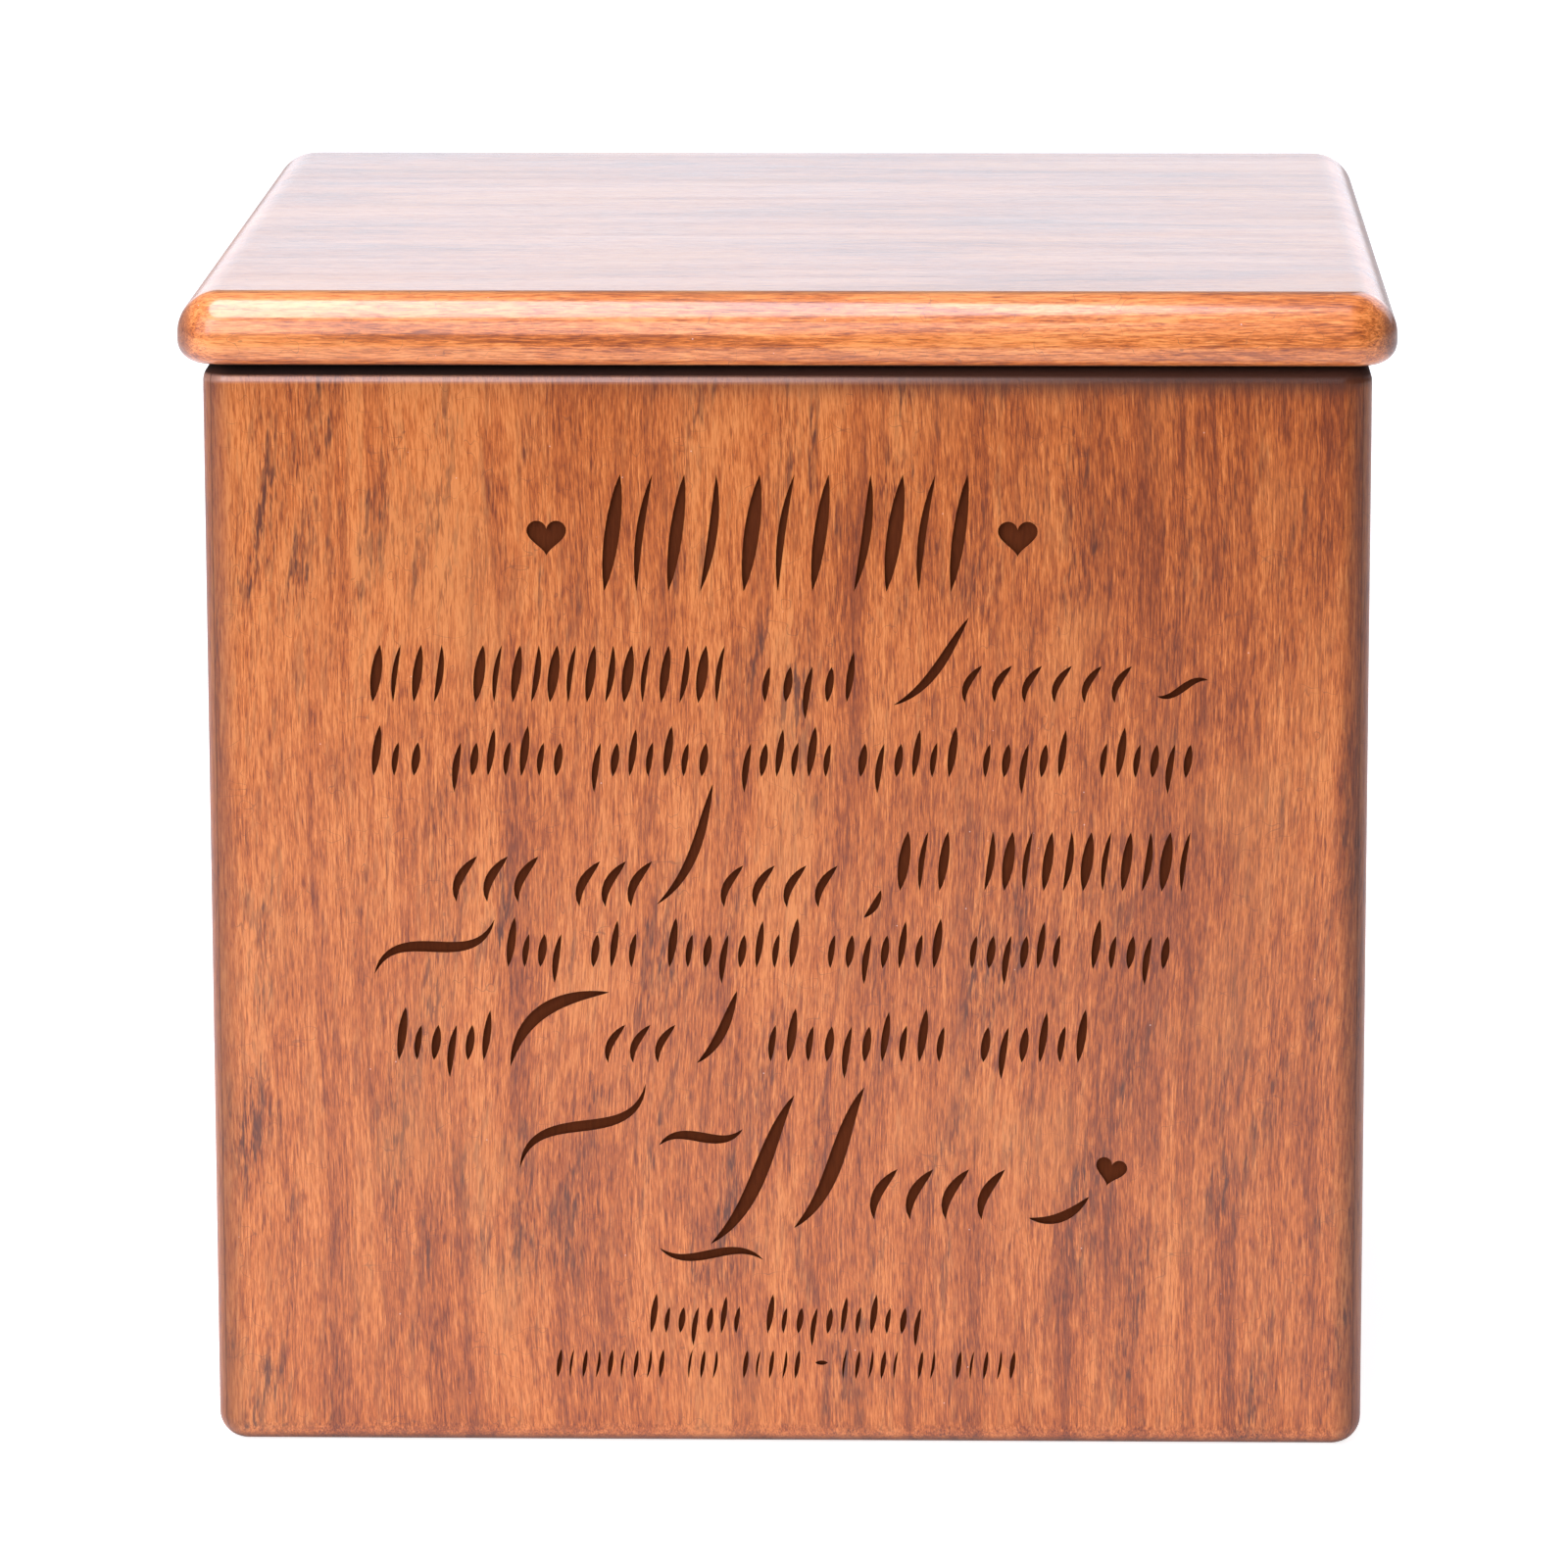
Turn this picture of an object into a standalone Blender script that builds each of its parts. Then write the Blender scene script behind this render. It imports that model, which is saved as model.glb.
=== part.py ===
"""Cremation urn box: four mitred boards, a let-in bottom board and a lift-off lid.

Metres, +Z up. The origin is the centre of the underside, and the engraved front faces -Y.
The box is hollow. Touching boards keep a small glue gap between them.
"""
import math

import bmesh
import bpy
from mathutils import Matrix, Vector
from mathutils.geometry import interpolate_bezier

# Body: outer sizes over the four boards
BODY_WIDTH = 0.168
BODY_DEPTH = 0.168
BODY_HEIGHT = 0.160
WALL = 0.0095
BODY_CORNER_RADIUS = 0.0045
BODY_TOP_RADIUS = 0.0025
BODY_FOOT_RADIUS = 0.0040
GLUE_GAP = 0.0003

# Bottom board, let into a rebate round the foot of the walls
BOTTOM_THICKNESS = 0.0065
REBATE_INTO_WALL = 0.0035

# Lid, one board with a locating step under it that drops inside the walls
LID_THICKNESS = 0.0104
LID_OVERHANG = 0.0035
LID_TOP_RADIUS = 0.0063
LID_UNDER_RADIUS = 0.0032
LID_CORNER_RADIUS = 0.0070
LID_STEP_DEPTH = 0.0050
LID_STEP_CLEARANCE = 0.00075

# The most of the lid's thickness that its two roundovers may take
MOST_TOP_ROUNDING = 0.64
MOST_UNDER_ROUNDING = 0.32

# Engraved field on the front board
ENGRAVING_DEPTH = 0.0006
FIELD_SIDE_MARGIN = 0.0233
FIELD_TOP_MARGIN = 0.0156
FIELD_FOOT_MARGIN = 0.0103

# Facets of the rounded edges
CORNER_FACETS = 4
LID_TOP_FACETS = 6
EDGE_FACETS = 3

# A cutter reaches this far past the face that it cuts, and points this near are at one level
REACH = 0.001
LEVEL_TOLERANCE = 0.00003

# The rhythms that upright strokes repeat along a row. Each stroke: foot and top as shares of the
# row's height, bow as a share of the stroke's length, and share of the row's weight. All strokes
# lean the same way, so that no two of them meet in an angle and none reads as a letter.
EVEN_RHYTHM = (
    (0.00, 1.00, 0.00, 1.00),
    (0.00, 1.00, 0.05, 0.50),
    (0.00, 1.00, 0.00, 0.85),
    (0.00, 1.00, -0.05, 0.60),
)
MIXED_RHYTHM = (
    (0.00, 1.00, 0.00, 1.00),
    (0.00, 0.66, 0.05, 0.75),
    (0.00, 0.66, 0.00, 1.00),
    (-0.32, 0.66, 0.05, 0.80),
    (0.00, 0.66, 0.00, 0.95),
    (0.00, 0.94, 0.00, 0.85),
    (0.00, 0.68, 0.05, 0.75),
)
STROKE_LEAN = 0.14

# Rows of upright strokes, in shares of the field. Each row: foot, height, stroke weight as a share
# of the height, spacing of its strokes, rhythm, and the (start, end) of each run of strokes.
STROKE_ROWS = (
    (0.874, 0.126, 0.130, 0.0375, EVEN_RHYTHM, ((0.275, 0.427), (0.439, 0.561), (0.571, 0.724))),
    (0.752, 0.062, 0.190, 0.0225, EVEN_RHYTHM, ((0.000, 0.098), (0.124, 0.433))),
    (0.753, 0.058, 0.160, 0.0225, MIXED_RHYTHM[1:], ((0.465, 0.588),)),
    (0.671, 0.055, 0.165, 0.0205, MIXED_RHYTHM, (
        (0.000, 0.070), (0.098, 0.238), (0.264, 0.412), (0.444, 0.559), (0.580, 0.708),
        (0.728, 0.839), (0.868, 0.987))),
    (0.546, 0.065, 0.190, 0.0235, EVEN_RHYTHM, ((0.628, 0.699), (0.729, 0.987))),
    (0.460, 0.055, 0.165, 0.0205, MIXED_RHYTHM, (
        (0.161, 0.235), (0.259, 0.328), (0.353, 0.519), (0.544, 0.690), (0.714, 0.833),
        (0.859, 0.962))),
    (0.356, 0.059, 0.165, 0.0215, MIXED_RHYTHM, ((0.028, 0.150), (0.472, 0.696), (0.726, 0.864))),
    (0.051, 0.044, 0.160, 0.0175, MIXED_RHYTHM, ((0.330, 0.448), (0.470, 0.666))),
    (0.000, 0.032, 0.170, 0.0150, EVEN_RHYTHM, (
        (0.216, 0.355), (0.375, 0.419), (0.441, 0.519), (0.561, 0.638), (0.653, 0.681),
        (0.698, 0.779))),
)

# Runs of small leaning crescents between the sweeps: start, end, foot, height and count
CRESCENT_RUNS = (
    (0.712, 0.925, 0.753, 0.040, 6),
    (0.105, 0.215, 0.532, 0.050, 3),
    (0.252, 0.345, 0.527, 0.050, 3),
    (0.425, 0.575, 0.527, 0.046, 4),
    (0.285, 0.375, 0.354, 0.042, 3),
    (0.604, 0.776, 0.180, 0.056, 4),
)
CRESCENT_LEAN = 0.45
CRESCENT_BOW = 0.24
CRESCENT_WEIGHT = 0.20

# Long sweeps, in shares of the field: start, end, bow near the start, bow near the end, and weight
SWEEPS = (
    ((0.628, 0.750), (0.716, 0.845), -0.16, -0.04, 0.0105),
    ((0.940, 0.760), (1.000, 0.778), -0.22, 0.22, 0.0080),
    ((0.006, 0.452), (0.150, 0.512), 0.34, -0.34, 0.0120),
    ((0.345, 0.530), (0.412, 0.662), -0.16, -0.06, 0.0110),
    ((0.592, 0.516), (0.612, 0.546), -0.12, -0.12, 0.0080),
    ((0.168, 0.350), (0.286, 0.432), 0.30, 0.22, 0.0150),
    ((0.392, 0.354), (0.440, 0.434), -0.14, -0.06, 0.0110),
    ((0.178, 0.236), (0.330, 0.330), 0.34, -0.34, 0.0120),
    ((0.408, 0.152), (0.508, 0.318), -0.14, 0.02, 0.0170),
    ((0.508, 0.170), (0.592, 0.327), -0.14, 0.02, 0.0170),
    ((0.346, 0.262), (0.446, 0.280), 0.26, -0.26, 0.0110),
    ((0.346, 0.146), (0.470, 0.134), -0.22, 0.22, 0.0100),
    ((0.790, 0.182), (0.862, 0.206), -0.24, -0.18, 0.0110),
    ((0.533, 0.018), (0.548, 0.018), 0.0, 0.0, 0.0050),
)

# Hearts, in shares of the field: middle, width and tilt in degrees
HEARTS = (
    ((0.216, 0.934), 0.047, 0.0),
    ((0.774, 0.934), 0.047, 0.0),
    ((0.888, 0.236), 0.038, -14.0),
)

# Points along a stroke, and how sharply it swells from its tips
STRAIGHT_STEPS = 3
BOWED_STEPS = 4
SWEEP_STEPS = 8
SMALL_STEPS = 2
SMALL_ROW_SHARE = 0.05
HEART_POINTS = 14
HEART_UNITS = 32
SWELL = 0.7

# Stained cherry, lacquered: colour and roughness of each piece
STAINED_FRONT = (0.47, 0.165, 0.062, 1.0)
STAINED_SIDE = (0.43, 0.150, 0.056, 1.0)
STAINED_LID = (0.52, 0.190, 0.068, 1.0)
PALE_BOTTOM = (0.40, 0.150, 0.060, 1.0)
LACQUER_ROUGHNESS = 0.28


def clear_scene():
    """Removes the objects that a new file starts with."""
    for item in list(bpy.data.objects):
        bpy.data.objects.remove(item, do_unlink=True)


def new_collection(name):
    """A collection linked to the scene."""
    collection = bpy.data.collections.new(name)
    bpy.context.scene.collection.children.link(collection)
    return collection


def wood(name, colour):
    """Principled material of one stained board."""
    made = bpy.data.materials.new(name)
    made.use_nodes = True
    shader = made.node_tree.nodes["Principled BSDF"]
    shader.inputs["Base Color"].default_value = colour
    shader.inputs["Roughness"].default_value = LACQUER_ROUGHNESS
    shader.inputs["Metallic"].default_value = 0.0
    made.diffuse_color = colour
    return made


def finish_object(name, shape, collection, colour=None):
    """Turns a bmesh into an object; a piece has a colour, and a cutter has none."""
    bmesh.ops.recalc_face_normals(shape, faces=shape.faces)
    mesh = bpy.data.meshes.new(name)
    shape.to_mesh(mesh)
    shape.free()
    made = bpy.data.objects.new(name, mesh)
    collection.objects.link(made)
    if colour is None:
        made.hide_render = True
        made.display_type = "WIRE"
    else:
        mesh.materials.append(wood(name + "_wood", colour))
    return made


def block(width, depth, foot, top):
    """A cube brought to size, centred on the Z axis."""
    shape = bmesh.new()
    bmesh.ops.create_cube(shape, size=1.0)
    bmesh.ops.scale(shape, vec=(width, depth, top - foot), verts=shape.verts)
    bmesh.ops.translate(shape, vec=(0.0, 0.0, (foot + top) / 2), verts=shape.verts)
    return shape


def round_edges(shape, edges, radius, facets):
    """Rounds the given edges."""
    bmesh.ops.bevel(
        shape,
        geom=edges,
        offset=radius,
        offset_type="OFFSET",
        segments=facets,
        profile=0.5,
        affect="EDGES",
    )


def rounded_block(width, depth, foot, top, corner, upper, lower, upper_facets):
    """A block with rounded upright corners, then a rounded top rim and a rounded foot rim."""
    shape = block(width, depth, foot, top)
    upright = [e for e in shape.edges if abs(e.verts[0].co.z - e.verts[1].co.z) > REACH]
    round_edges(shape, upright, corner, CORNER_FACETS)
    for level, radius, facets in ((top, upper, upper_facets), (foot, lower, EDGE_FACETS)):
        rim = [e for e in shape.edges if all(abs(v.co.z - level) < LEVEL_TOLERANCE for v in e.verts)]
        round_edges(shape, rim, radius, facets)
    return shape


def add_boolean(piece, operation, other):
    """Adds an exact Boolean with another object."""
    made = piece.modifiers.new(operation.lower() + "_" + other.name, "BOOLEAN")
    made.operation = operation
    made.solver = "EXACT"
    made.object = other


def mitred_blank(length, reach):
    """A board as sawn, along X with its outer face towards -Y and both ends mitred at 45 degrees.

    length is the body's outer size along the board, and reach its half size across it. The blank
    stands past the outer face and past the foot and top, which the body's rounded shape trims.
    """
    shape = block(length, WALL, -REACH, BODY_HEIGHT + REACH)
    mitre_gap = GLUE_GAP / 2 * math.sqrt(2)
    for vert in shape.verts:
        sideways = math.copysign(1.0, vert.co.x)
        inward = -REACH if vert.co.y < 0 else WALL
        vert.co.x = sideways * (length / 2 - inward - mitre_gap)
        vert.co.y = inward - reach
    return shape


def make_wall(name, turn, length, reach, body_shape, rebate, pieces):
    """One wall board: its mitred blank, trimmed to the rounded body and rebated at the foot."""
    wall = finish_object(name, mitred_blank(length, reach), pieces,
                         STAINED_FRONT if turn == 0 else STAINED_SIDE)
    wall.rotation_euler.z = math.radians(turn)
    add_boolean(wall, "INTERSECT", body_shape)
    add_boolean(wall, "DIFFERENCE", rebate)
    return wall


def field_point(share):
    """Metres across and up the front face, from shares of the engraved field."""
    width = BODY_WIDTH - 2 * FIELD_SIDE_MARGIN
    height = BODY_HEIGHT - FIELD_TOP_MARGIN - FIELD_FOOT_MARGIN
    return Vector((-width / 2 + share[0] * width, FIELD_FOOT_MARGIN + share[1] * height))


def stroke_outline(start, end, bows, weight, steps):
    """Outline of one stroke, which swells from a point at each end, on a curve between two points."""
    along = end - start
    side = Vector((-along.y, along.x))
    first = start + along / 3 + side * bows[0]
    second = start + along * 2 / 3 + side * bows[1]
    line = interpolate_bezier(start, first, second, end, steps + 1)
    left, right = [], []
    for step in range(1, steps):
        ahead = line[step + 1] - line[step - 1]
        across = Vector((-ahead.y, ahead.x)).normalized()
        half = weight / 2 * math.sin(math.pi * step / steps) ** SWELL
        left.append(line[step] + across * half)
        right.append(line[step] - across * half)
    return [line[0], *right, line[-1], *reversed(left)]


def upright_strokes():
    """Outlines of the rows of upright strokes, which repeat their row's rhythm along each run."""
    field_height = field_point((0, 1)).y - field_point((0, 0)).y
    for row_foot, height, weight, spacing, rhythm, runs in STROKE_ROWS:
        beat = 0
        for run_start, run_end in runs:
            count = max(1, round((run_end - run_start) / spacing))
            for place in range(count):
                foot, top, bow, weight_share = rhythm[beat % len(rhythm)]
                beat += 1
                across = run_start + (place + 0.5) * (run_end - run_start) / count
                start = field_point((across, row_foot + height * foot))
                end = field_point((across, row_foot + height * top))
                swing = Vector(((end.y - start.y) * STROKE_LEAN / 2, 0.0))
                steps = BOWED_STEPS if bow else STRAIGHT_STEPS
                if height < SMALL_ROW_SHARE:
                    steps = SMALL_STEPS
                yield stroke_outline(start - swing, end + swing, (bow, bow),
                                     weight * weight_share * height * field_height, steps)


def crescents():
    """Outlines of the small leaning crescents."""
    for run_start, run_end, foot, height, count in CRESCENT_RUNS:
        for place in range(count):
            across = run_start + place * (run_end - run_start) / count
            start = field_point((across, foot))
            end = field_point((across, foot + height))
            rise = end.y - start.y
            end.x += rise * CRESCENT_LEAN
            yield stroke_outline(start, end, (CRESCENT_BOW, CRESCENT_BOW / 2),
                                 rise * CRESCENT_WEIGHT, BOWED_STEPS)


def sweeps():
    """Outlines of the long sweeps."""
    field_height = field_point((0, 1)).y - field_point((0, 0)).y
    for start, end, first_bow, last_bow, weight in SWEEPS:
        steps = SWEEP_STEPS if first_bow else STRAIGHT_STEPS
        yield stroke_outline(field_point(start), field_point(end), (first_bow, last_bow),
                             weight * field_height, steps)


def hearts():
    """Outlines of the hearts, from the usual sine and cosine formula in its own units."""
    field_width = field_point((1, 0)).x - field_point((0, 0)).x
    for middle, width, tilt in HEARTS:
        turn = Matrix.Rotation(math.radians(tilt), 2) * (width * field_width / HEART_UNITS)
        outline = []
        for point in range(HEART_POINTS):
            angle = 2 * math.pi * point / HEART_POINTS
            across = 16 * math.sin(angle) ** 3
            rise = (13 * math.cos(angle) - 5 * math.cos(2 * angle)
                    - 2 * math.cos(3 * angle) - math.cos(4 * angle))
            outline.append(field_point(middle) + turn @ Vector((across, rise)))
        yield outline


def engraving_cutter(cutters):
    """Every stroke and heart as a shallow prism, from in front of the face to the engraved depth."""
    shape = bmesh.new()
    face_y = -BODY_DEPTH / 2
    for outline in (*upright_strokes(), *crescents(), *sweeps(), *hearts()):
        ring = [shape.verts.new((point.x, face_y - REACH, point.y)) for point in outline]
        cap = shape.faces.new(ring)
        grown = bmesh.ops.extrude_face_region(shape, geom=[cap], use_keep_orig=True)
        pushed = [item for item in grown["geom"] if isinstance(item, bmesh.types.BMVert)]
        bmesh.ops.translate(shape, vec=(0.0, REACH + ENGRAVING_DEPTH, 0.0), verts=pushed)
    return finish_object("engraving_cutter", shape, cutters)


def make_bottom(pieces):
    """The bottom board, flush with the foot of the walls and a glue gap smaller than its rebate."""
    grown = 2 * (REBATE_INTO_WALL - GLUE_GAP - WALL)
    shape = block(BODY_WIDTH + grown, BODY_DEPTH + grown, 0.0, BOTTOM_THICKNESS)
    return finish_object("bottom_panel", shape, pieces, PALE_BOTTOM)


def make_lid(pieces, cutters):
    """The lid board with its rounded rims, and its locating step joined under it as one solid."""
    seat = BODY_HEIGHT + GLUE_GAP
    upper = min(LID_TOP_RADIUS, LID_THICKNESS * MOST_TOP_ROUNDING)
    lower = min(LID_UNDER_RADIUS, LID_THICKNESS * MOST_UNDER_ROUNDING)
    corner = max(LID_CORNER_RADIUS, upper + GLUE_GAP)
    board = rounded_block(BODY_WIDTH + 2 * LID_OVERHANG, BODY_DEPTH + 2 * LID_OVERHANG, seat,
                          seat + LID_THICKNESS, corner, upper, lower, LID_TOP_FACETS)
    lid = finish_object("lid", board, pieces, STAINED_LID)
    inset = 2 * (WALL + LID_STEP_CLEARANCE)
    step = block(BODY_WIDTH - inset, BODY_DEPTH - inset, seat - LID_STEP_DEPTH, seat + LID_THICKNESS / 2)
    add_boolean(lid, "UNION", finish_object("lid_step_shape", step, cutters))
    return lid


def build():
    """Builds the six boards of the urn box."""
    clear_scene()
    pieces = new_collection("cremation_urn_box")
    cutters = new_collection("cutters")
    corner = max(BODY_CORNER_RADIUS, BODY_FOOT_RADIUS + GLUE_GAP, BODY_TOP_RADIUS + GLUE_GAP)
    body = rounded_block(BODY_WIDTH, BODY_DEPTH, 0.0, BODY_HEIGHT, corner, BODY_TOP_RADIUS,
                         BODY_FOOT_RADIUS, EDGE_FACETS)
    body_shape = finish_object("body_shape", body, cutters)
    grown = 2 * (REBATE_INTO_WALL - WALL)
    rebate_block = block(BODY_WIDTH + grown, BODY_DEPTH + grown, -REACH, BOTTOM_THICKNESS + GLUE_GAP)
    rebate = finish_object("rebate_cutter", rebate_block, cutters)
    front = make_wall("front_panel", 0, BODY_WIDTH, BODY_DEPTH / 2, body_shape, rebate, pieces)
    add_boolean(front, "DIFFERENCE", engraving_cutter(cutters))
    make_wall("right_panel", 90, BODY_DEPTH, BODY_WIDTH / 2, body_shape, rebate, pieces)
    make_wall("back_panel", 180, BODY_WIDTH, BODY_DEPTH / 2, body_shape, rebate, pieces)
    make_wall("left_panel", 270, BODY_DEPTH, BODY_WIDTH / 2, body_shape, rebate, pieces)
    make_bottom(pieces)
    make_lid(pieces, cutters)


build()
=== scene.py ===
"""Looks of the cremation urn box, made piece by piece in the order in which it is put together.

Metres, +Z up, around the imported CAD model. The engraved front faces -Y.
"""
import math

import bmesh
import bpy
from mathutils import Matrix, Vector


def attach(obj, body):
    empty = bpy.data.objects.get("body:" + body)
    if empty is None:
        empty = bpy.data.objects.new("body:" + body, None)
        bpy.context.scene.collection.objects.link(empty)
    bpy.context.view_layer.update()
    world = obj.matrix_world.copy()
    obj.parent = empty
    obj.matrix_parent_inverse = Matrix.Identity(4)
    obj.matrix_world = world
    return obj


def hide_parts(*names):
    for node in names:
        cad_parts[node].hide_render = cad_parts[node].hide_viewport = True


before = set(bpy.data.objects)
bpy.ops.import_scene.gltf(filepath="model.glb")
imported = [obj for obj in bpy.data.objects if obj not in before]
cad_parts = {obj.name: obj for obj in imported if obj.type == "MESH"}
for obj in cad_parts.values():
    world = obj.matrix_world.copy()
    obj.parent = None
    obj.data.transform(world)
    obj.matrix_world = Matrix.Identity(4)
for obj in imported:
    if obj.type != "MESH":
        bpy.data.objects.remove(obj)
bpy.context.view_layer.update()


# Camera: a long lens about 1.2 m in front of the box, a little above its lid and looking slightly
# down, as the photograph was taken. The shift is zero.
CAMERA_PLACE = (0.03237, -1.24054, 0.33117)
CAMERA_TURN = 0.028314
CAMERA_DOWN = 0.197873
CAMERA_ROLL = -0.002487
CAMERA_LENS = 187.50
SENSOR_WIDTH = 36.0
camera_data = bpy.data.cameras.new("camera")
camera_data.lens = CAMERA_LENS
camera_data.sensor_width = SENSOR_WIDTH
camera_data.clip_end = 40.0
camera = bpy.data.objects.new("camera", camera_data)
camera.matrix_world = (
    Matrix.Translation(CAMERA_PLACE)
    @ Matrix.Rotation(CAMERA_TURN, 4, "Z")
    @ Matrix.Rotation(math.pi / 2 - CAMERA_DOWN, 4, "X")
    @ Matrix.Rotation(CAMERA_ROLL, 4, "Z")
)
bpy.context.scene.collection.objects.link(camera)
bpy.context.scene.camera = camera


# Front board: flat-sawn cherry 9.5 mm thick, grain upright, stained and lacquered. It is mitred
# into the side boards and glued, then its edges are rounded over with theirs. The rows of shallow
# strokes and the three hearts are burnt into its face by a laser, after the lacquer.
BODY_WIDTH = 0.168
BODY_HEIGHT = 0.160
WALL = 0.0095
BODY_CORNER_RADIUS = 0.0045
BODY_TOP_RADIUS = 0.0025
BODY_FOOT_RADIUS = 0.0040
CORNER_SEGMENTS = 12
TOP_SEGMENTS = 8
FOOT_SEGMENTS = 10
MITRE_GAP = 0.00004
REBATE_INTO_WALL = 0.0035
REBATE_HEIGHT = 0.0068
REACH = 0.001
LEVEL_TOLERANCE = 0.00003
SMOOTH_ANGLE = math.radians(30)
FACE_AREA_WEIGHT = 100

ENGRAVING_DEPTH = 0.0006
FIELD_SIDE_MARGIN = 0.0233
FIELD_TOP_MARGIN = 0.0156
FIELD_FOOT_MARGIN = 0.0103
FIELD_WIDTH = BODY_WIDTH - 2 * FIELD_SIDE_MARGIN
FIELD_HEIGHT = BODY_HEIGHT - FIELD_TOP_MARGIN - FIELD_FOOT_MARGIN

# The rhythms of the upright strokes. Each stroke: foot and top as shares of the row's height, bow
# as a share of the stroke's length, and share of the row's weight.
EVEN_RHYTHM = (
    (0.00, 1.00, 0.00, 1.00),
    (0.00, 1.00, 0.05, 0.50),
    (0.00, 1.00, 0.00, 0.85),
    (0.00, 1.00, -0.05, 0.60),
)
MIXED_RHYTHM = (
    (0.00, 1.00, 0.00, 1.00),
    (0.00, 0.66, 0.05, 0.75),
    (0.00, 0.66, 0.00, 1.00),
    (-0.32, 0.66, 0.05, 0.80),
    (0.00, 0.66, 0.00, 0.95),
    (0.00, 0.94, 0.00, 0.85),
    (0.00, 0.68, 0.05, 0.75),
)
CRESCENT_RHYTHM = ((0.00, 1.00, 0.18, 1.00),)
STROKE_LEAN = 0.14
CRESCENT_LEAN = 0.45
CRESCENT_WEIGHT = 0.20

# Rows in shares of the field: foot, height, stroke weight as a share of the height, spacing,
# rhythm, first beat, and the (start, end) of each run of strokes
STROKE_ROWS = (
    (0.874, 0.126, 0.130, 0.0375, "even", 0, ((0.275, 0.427), (0.439, 0.561), (0.571, 0.724))),
    (0.752, 0.062, 0.190, 0.0225, "even", 0, ((0.000, 0.098), (0.124, 0.433))),
    (0.753, 0.058, 0.160, 0.0225, "mixed", 1, ((0.465, 0.588),)),
    (0.671, 0.055, 0.165, 0.0205, "mixed", 0, (
        (0.000, 0.070), (0.098, 0.238), (0.264, 0.412), (0.444, 0.559), (0.580, 0.708),
        (0.728, 0.839), (0.868, 0.987))),
    (0.546, 0.065, 0.190, 0.0235, "even", 0, ((0.628, 0.699), (0.729, 0.987))),
    (0.460, 0.055, 0.165, 0.0205, "mixed", 0, (
        (0.161, 0.235), (0.259, 0.328), (0.353, 0.519), (0.544, 0.690), (0.714, 0.833),
        (0.859, 0.962))),
    (0.356, 0.059, 0.165, 0.0215, "mixed", 0, ((0.028, 0.150), (0.472, 0.696), (0.726, 0.864))),
    (0.051, 0.044, 0.160, 0.0175, "mixed", 0, ((0.330, 0.448), (0.470, 0.666))),
    (0.000, 0.032, 0.170, 0.0150, "even", 0, (
        (0.216, 0.355), (0.375, 0.419), (0.441, 0.519), (0.561, 0.638), (0.653, 0.681),
        (0.698, 0.779))),
)

# Runs of small leaning crescents: start, end, foot, height and count
CRESCENT_RUNS = (
    (0.712, 0.925, 0.753, 0.040, 6),
    (0.105, 0.215, 0.532, 0.050, 3),
    (0.252, 0.345, 0.527, 0.050, 3),
    (0.425, 0.575, 0.527, 0.046, 4),
    (0.285, 0.375, 0.354, 0.042, 3),
    (0.604, 0.776, 0.180, 0.056, 4),
)

# Long sweeps: start, end, bow near the start, bow near the end, and weight
SWEEPS = (
    ((0.628, 0.750), (0.716, 0.845), -0.16, -0.04, 0.0105),
    ((0.940, 0.760), (1.000, 0.778), -0.22, 0.22, 0.0080),
    ((0.006, 0.452), (0.150, 0.512), 0.34, -0.34, 0.0120),
    ((0.345, 0.530), (0.412, 0.662), -0.16, -0.06, 0.0110),
    ((0.592, 0.516), (0.612, 0.546), -0.12, -0.12, 0.0080),
    ((0.168, 0.350), (0.286, 0.432), 0.30, 0.22, 0.0150),
    ((0.392, 0.354), (0.440, 0.434), -0.14, -0.06, 0.0110),
    ((0.178, 0.236), (0.330, 0.330), 0.34, -0.34, 0.0120),
    ((0.408, 0.152), (0.508, 0.318), -0.14, 0.02, 0.0170),
    ((0.508, 0.170), (0.592, 0.327), -0.14, 0.02, 0.0170),
    ((0.346, 0.262), (0.446, 0.280), 0.26, -0.26, 0.0110),
    ((0.346, 0.146), (0.470, 0.134), -0.22, 0.22, 0.0100),
    ((0.790, 0.182), (0.862, 0.206), -0.24, -0.18, 0.0110),
    ((0.533, 0.018), (0.548, 0.018), 0.0, 0.0, 0.0050),
)

# Hearts: middle, width and tilt in degrees
HEARTS = (
    ((0.216, 0.934), 0.047, 0.0),
    ((0.774, 0.934), 0.047, 0.0),
    ((0.888, 0.236), 0.038, -14.0),
)
STROKE_STEPS = 9
SWEEP_STEPS = 24
HEART_POINTS = 56
HEART_UNITS = 32
SWELL = 0.7
FINEST_TIP = 0.03
SAME_POINT = 0.000001
CRESCENT_BOW_FADE = 0.667

# Linear colours of the stained wood, and of the painted shade and painted highlight laid on it. A
# ramp's stops come first, from its dark to its pale end.
STAIN_STOPS = (
    (0.10, (0.200, 0.036, 0.0055, 1.0)),
    (0.38, (0.400, 0.088, 0.0120, 1.0)),
    (0.60, (0.600, 0.156, 0.0245, 1.0)),
    (0.90, (0.800, 0.275, 0.0660, 1.0)),
)
END_GRAIN_STOPS = (
    (0.30, (0.105, 0.026, 0.010, 1.0)),
    (0.70, (0.360, 0.115, 0.042, 1.0)),
)
FIGURE_BROWN = (0.130, 0.029, 0.009, 1.0)
PALE_CLOUD = (0.62, 0.235, 0.060, 1.0)
SCRATCH_BROWN = (0.16, 0.045, 0.020, 1.0)
DUST_WHITE = (0.95, 0.80, 0.70, 1.0)
# Near-black painted shade under the lid
PAINTED_SHADE_BROWN = (0.012, 0.0035, 0.002, 1.0)
# Painted shade on the walls' rounded upright edges and rim
PAINTED_SHADE_WALL_BROWN = (0.10, 0.030, 0.013, 1.0)
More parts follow.
